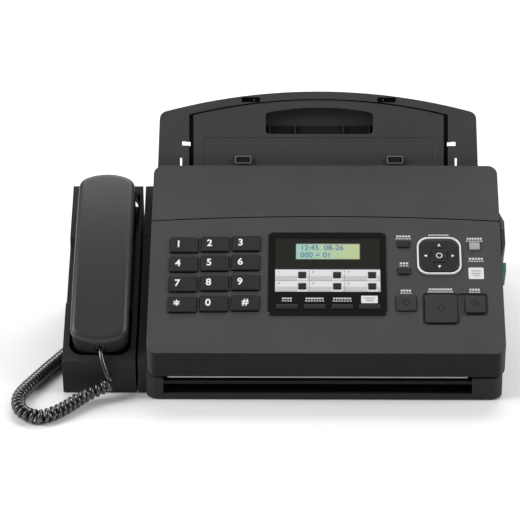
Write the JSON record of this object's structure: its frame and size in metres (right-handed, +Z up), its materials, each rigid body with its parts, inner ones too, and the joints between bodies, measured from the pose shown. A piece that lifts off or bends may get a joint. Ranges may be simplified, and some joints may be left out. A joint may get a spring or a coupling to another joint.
{
  "type": "fax machine",
  "caption": "Desktop fax machine: sloping keypad with display, rear paper tray with a tension plate, and a corded handset resting in a side cradle.",
  "frame": {"origin": "on the table under the middle of the machine's overall width and depth, cord left out", "axes": "+X along the machine's width, towards the side away from the handset; +Y from the front to the rear; +Z up"},
  "size_m": [0.4, 0.2683, 0.1815],
  "materials": {
    "case_plastic": "fine matt texture",
    "cover_plastic": "fine matt texture",
    "tray_plastic": "fine matt texture",
    "handset_plastic": "satin",
    "foot_rubber": "matt",
    "roller_rubber": "matt",
    "steel": "bare",
    "circuit_board": "satin",
    "speaker_black": "satin",
    "aluminium": "bare",
    "sensor_black": "gloss",
    "ink_film": "gloss film",
    "bezel_gloss": "polished",
    "lcd": "display behind a clear window",
    "lever_green": "satin",
    "hook_plastic": "satin",
    "plug_clear": "clear plastic",
    "cord_black": "glossy",
    "key_black": "satin",
    "key_charcoal": "satin",
    "key_light": "satin",
    "key_silver": "satin silver"
  },
  "bodies": {
    "base": {"lower_case": "case_plastic", "rubber_feet": "foot_rubber", "case_screws": "steel", "chassis": "steel", "main_board": "circuit_board", "speaker": "speaker_black", "feed_motor": "steel", "thermal_head": "aluminium", "image_sensor": "sensor_black", "handset_cradle": "case_plastic", "cradle_plug": "plug_clear", "handset_cord_coil": "cord_black", "handset_cord_lead": "cord_black", "handset_cord_tail": "cord_black"},
    "control_panel": {"control_panel": "cover_plastic", "display_bezel": "bezel_gloss", "lcd_module": "lcd", "key_board": "circuit_board"},
    "back_cover": {"back_cover": "cover_plastic", "paper_tray": "tray_plastic"},
    "tension_plate": {"tension_plate": "tray_plastic"},
    "release_lever": {"release_lever": "lever_green"},
    "handset": {"handset_lower_shell": "handset_plastic", "handset_upper_shell": "handset_plastic", "handset_plug": "plug_clear"},
    "hook_switch": {"hook_switch": "hook_plastic"},
    "platen_roller": {"platen_roller": "roller_rubber"},
    "feed_roller": {"feed_roller": "roller_rubber"},
    "film_supply_roll": {"film_supply_roll": "ink_film"},
    "film_take_up_roll": {"film_take_up_roll": "ink_film"},
    "dial_key_1": {"dial_key_1": "key_black"},
    "dial_key_2": {"dial_key_2": "key_black"},
    "dial_key_3": {"dial_key_3": "key_black"},
    "dial_key_4": {"dial_key_4": "key_black"},
    "dial_key_5": {"dial_key_5": "key_black"},
    "dial_key_6": {"dial_key_6": "key_black"},
    "dial_key_7": {"dial_key_7": "key_black"},
    "dial_key_8": {"dial_key_8": "key_black"},
    "dial_key_9": {"dial_key_9": "key_black"},
    "dial_key_star": {"dial_key_star": "key_black"},
    "dial_key_0": {"dial_key_0": "key_black"},
    "dial_key_hash": {"dial_key_hash": "key_black"},
    "caller_id_key": {"caller_id_key": "key_black"},
    "menu_key": {"menu_key": "key_black"},
    "auto_answer_key": {"auto_answer_key": "key_light"},
    "stop_key": {"stop_key": "key_charcoal"},
    "start_key": {"start_key": "key_charcoal"},
    "copy_key": {"copy_key": "key_charcoal"},
    "one_touch_key_1": {"one_touch_key_1": "key_black"},
    "one_touch_key_2": {"one_touch_key_2": "key_black"},
    "one_touch_key_3": {"one_touch_key_3": "key_black"},
    "one_touch_key_4": {"one_touch_key_4": "key_black"},
    "one_touch_key_5": {"one_touch_key_5": "key_black"},
    "one_touch_key_6": {"one_touch_key_6": "key_black"},
    "function_key_1": {"function_key_1": "key_black"},
    "function_key_2": {"function_key_2": "key_black"},
    "function_key_3": {"function_key_3": "key_black"},
    "function_key_4": {"function_key_4": "key_black"},
    "set_key": {"set_key": "key_black"},
    "navigation_pad": {"navigation_pad": "key_silver"}
  },
  "joints": [
    {"name": "control_panel_hinge", "type": "hinge", "parent": "base", "child": "control_panel", "pos_m": [0, -0.00947, 0.08929], "axis": [-1, 0, 0], "range_deg": [0, 38]},
    {"name": "back_cover_hinge", "type": "hinge", "parent": "base", "child": "back_cover", "pos_m": [0, 0.087, 0.062], "axis": [-1, 0, 0], "range_deg": [0, 55]},
    {"name": "tension_plate_hinge", "type": "hinge", "parent": "back_cover", "child": "tension_plate", "pos_m": [0, 0.04987, 0.1034], "axis": [1, 0, 0], "range_deg": [0, 14]},
    {"name": "release_lever_slide", "type": "slide", "parent": "base", "child": "release_lever", "axis": [0, 0.8829, 0.4695], "range_m": [0, 0.004], "stiffness_N_per_m": 200, "springref_m": -0.001},
    {"name": "handset_lift", "type": "slide", "parent": "base", "child": "handset", "axis": [0, -0.4695, 0.8829], "range_m": [0, 0.12]},
    {"name": "hook_switch_rise", "type": "slide", "parent": "base", "child": "hook_switch", "axis": [0, -0.4695, 0.8829], "range_m": [0, 0.003]},
    {"name": "platen_turn", "type": "hinge", "parent": "base", "child": "platen_roller", "pos_m": [0, -0.02, 0.046], "axis": [1, 0, 0], "continuous": true},
    {"name": "feed_turn", "type": "hinge", "parent": "base", "child": "feed_roller", "pos_m": [0, 0.037, 0.076], "axis": [1, 0, 0], "continuous": true},
    {"name": "film_supply_turn", "type": "hinge", "parent": "base", "child": "film_supply_roll", "pos_m": [0, 0.011, 0.062], "axis": [1, 0, 0], "continuous": true},
    {"name": "film_take_up_turn", "type": "hinge", "parent": "base", "child": "film_take_up_roll", "pos_m": [0, -0.056, 0.036], "axis": [1, 0, 0], "continuous": true},
    {"name": "dial_key_1_press", "type": "slide", "parent": "control_panel", "child": "dial_key_1", "axis": [0, 0.4695, -0.8829], "range_m": [0, 0.0015], "stiffness_N_per_m": 150, "springref_m": -0.0008},
    {"name": "dial_key_2_press", "type": "slide", "parent": "control_panel", "child": "dial_key_2", "axis": [0, 0.4695, -0.8829], "range_m": [0, 0.0015], "stiffness_N_per_m": 150, "springref_m": -0.0008},
    {"name": "dial_key_3_press", "type": "slide", "parent": "control_panel", "child": "dial_key_3", "axis": [0, 0.4695, -0.8829], "range_m": [0, 0.0015], "stiffness_N_per_m": 150, "springref_m": -0.0008},
    {"name": "dial_key_4_press", "type": "slide", "parent": "control_panel", "child": "dial_key_4", "axis": [0, 0.4695, -0.8829], "range_m": [0, 0.0015], "stiffness_N_per_m": 150, "springref_m": -0.0008},
    {"name": "dial_key_5_press", "type": "slide", "parent": "control_panel", "child": "dial_key_5", "axis": [0, 0.4695, -0.8829], "range_m": [0, 0.0015], "stiffness_N_per_m": 150, "springref_m": -0.0008},
    {"name": "dial_key_6_press", "type": "slide", "parent": "control_panel", "child": "dial_key_6", "axis": [0, 0.4695, -0.8829], "range_m": [0, 0.0015], "stiffness_N_per_m": 150, "springref_m": -0.0008},
    {"name": "dial_key_7_press", "type": "slide", "parent": "control_panel", "child": "dial_key_7", "axis": [0, 0.4695, -0.8829], "range_m": [0, 0.0015], "stiffness_N_per_m": 150, "springref_m": -0.0008},
    {"name": "dial_key_8_press", "type": "slide", "parent": "control_panel", "child": "dial_key_8", "axis": [0, 0.4695, -0.8829], "range_m": [0, 0.0015], "stiffness_N_per_m": 150, "springref_m": -0.0008},
    {"name": "dial_key_9_press", "type": "slide", "parent": "control_panel", "child": "dial_key_9", "axis": [0, 0.4695, -0.8829], "range_m": [0, 0.0015], "stiffness_N_per_m": 150, "springref_m": -0.0008},
    {"name": "dial_key_star_press", "type": "slide", "parent": "control_panel", "child": "dial_key_star", "axis": [0, 0.4695, -0.8829], "range_m": [0, 0.0015], "stiffness_N_per_m": 150, "springref_m": -0.0008},
    {"name": "dial_key_0_press", "type": "slide", "parent": "control_panel", "child": "dial_key_0", "axis": [0, 0.4695, -0.8829], "range_m": [0, 0.0015], "stiffness_N_per_m": 150, "springref_m": -0.0008},
    {"name": "dial_key_hash_press", "type": "slide", "parent": "control_panel", "child": "dial_key_hash", "axis": [0, 0.4695, -0.8829], "range_m": [0, 0.0015], "stiffness_N_per_m": 150, "springref_m": -0.0008},
    {"name": "caller_id_key_press", "type": "slide", "parent": "control_panel", "child": "caller_id_key", "axis": [0, 0.4695, -0.8829], "range_m": [0, 0.0015], "stiffness_N_per_m": 150, "springref_m": -0.0008},
    {"name": "menu_key_press", "type": "slide", "parent": "control_panel", "child": "menu_key", "axis": [0, 0.4695, -0.8829], "range_m": [0, 0.0015], "stiffness_N_per_m": 150, "springref_m": -0.0008},
    {"name": "auto_answer_key_press", "type": "slide", "parent": "control_panel", "child": "auto_answer_key", "axis": [0, 0.4695, -0.8829], "range_m": [0, 0.0015], "stiffness_N_per_m": 150, "springref_m": -0.0008},
    {"name": "stop_key_press", "type": "slide", "parent": "control_panel", "child": "stop_key", "axis": [0, 0.4695, -0.8829], "range_m": [0, 0.0015], "stiffness_N_per_m": 150, "springref_m": -0.0008},
    {"name": "start_key_press", "type": "slide", "parent": "control_panel", "child": "start_key", "axis": [0, 0.4695, -0.8829], "range_m": [0, 0.0015], "stiffness_N_per_m": 150, "springref_m": -0.0008},
    {"name": "copy_key_press", "type": "slide", "parent": "control_panel", "child": "copy_key", "axis": [0, 0.4695, -0.8829], "range_m": [0, 0.0015], "stiffness_N_per_m": 150, "springref_m": -0.0008},
    {"name": "one_touch_key_1_press", "type": "slide", "parent": "control_panel", "child": "one_touch_key_1", "axis": [0, 0.4695, -0.8829], "range_m": [0, 0.0015], "stiffness_N_per_m": 150, "springref_m": -0.0008},
    {"name": "one_touch_key_2_press", "type": "slide", "parent": "control_panel", "child": "one_touch_key_2", "axis": [0, 0.4695, -0.8829], "range_m": [0, 0.0015], "stiffness_N_per_m": 150, "springref_m": -0.0008},
    {"name": "one_touch_key_3_press", "type": "slide", "parent": "control_panel", "child": "one_touch_key_3", "axis": [0, 0.4695, -0.8829], "range_m": [0, 0.0015], "stiffness_N_per_m": 150, "springref_m": -0.0008},
    {"name": "one_touch_key_4_press", "type": "slide", "parent": "control_panel", "child": "one_touch_key_4", "axis": [0, 0.4695, -0.8829], "range_m": [0, 0.0015], "stiffness_N_per_m": 150, "springref_m": -0.0008},
    {"name": "one_touch_key_5_press", "type": "slide", "parent": "control_panel", "child": "one_touch_key_5", "axis": [0, 0.4695, -0.8829], "range_m": [0, 0.0015], "stiffness_N_per_m": 150, "springref_m": -0.0008},
    {"name": "one_touch_key_6_press", "type": "slide", "parent": "control_panel", "child": "one_touch_key_6", "axis": [0, 0.4695, -0.8829], "range_m": [0, 0.0015], "stiffness_N_per_m": 150, "springref_m": -0.0008},
    {"name": "function_key_1_press", "type": "slide", "parent": "control_panel", "child": "function_key_1", "axis": [0, 0.4695, -0.8829], "range_m": [0, 0.0015], "stiffness_N_per_m": 150, "springref_m": -0.0008},
    {"name": "function_key_2_press", "type": "slide", "parent": "control_panel", "child": "function_key_2", "axis": [0, 0.4695, -0.8829], "range_m": [0, 0.0015], "stiffness_N_per_m": 150, "springref_m": -0.0008},
    {"name": "function_key_3_press", "type": "slide", "parent": "control_panel", "child": "function_key_3", "axis": [0, 0.4695, -0.8829], "range_m": [0, 0.0015], "stiffness_N_per_m": 150, "springref_m": -0.0008},
    {"name": "function_key_4_press", "type": "slide", "parent": "control_panel", "child": "function_key_4", "axis": [0, 0.4695, -0.8829], "range_m": [0, 0.0015], "stiffness_N_per_m": 150, "springref_m": -0.0008},
    {"name": "set_key_press", "type": "slide", "parent": "control_panel", "child": "set_key", "axis": [0, 0.4695, -0.8829], "range_m": [0, 0.0015], "stiffness_N_per_m": 150, "springref_m": -0.0008},
    {"name": "navigation_pad_press", "type": "slide", "parent": "control_panel", "child": "navigation_pad", "axis": [0, 0.4695, -0.8829], "range_m": [0, 0.0015], "stiffness_N_per_m": 150, "springref_m": -0.0008}
  ],
  "couplings": [
    {"joint": "hook_switch_rise", "follows": "handset_lift", "ratio": 0.025},
    {"joint": "feed_turn", "follows": "platen_turn", "ratio": 1},
    {"joint": "film_supply_turn", "follows": "platen_turn", "ratio": -0.6923},
    {"joint": "film_take_up_turn", "follows": "platen_turn", "ratio": -0.9}
  ]
}
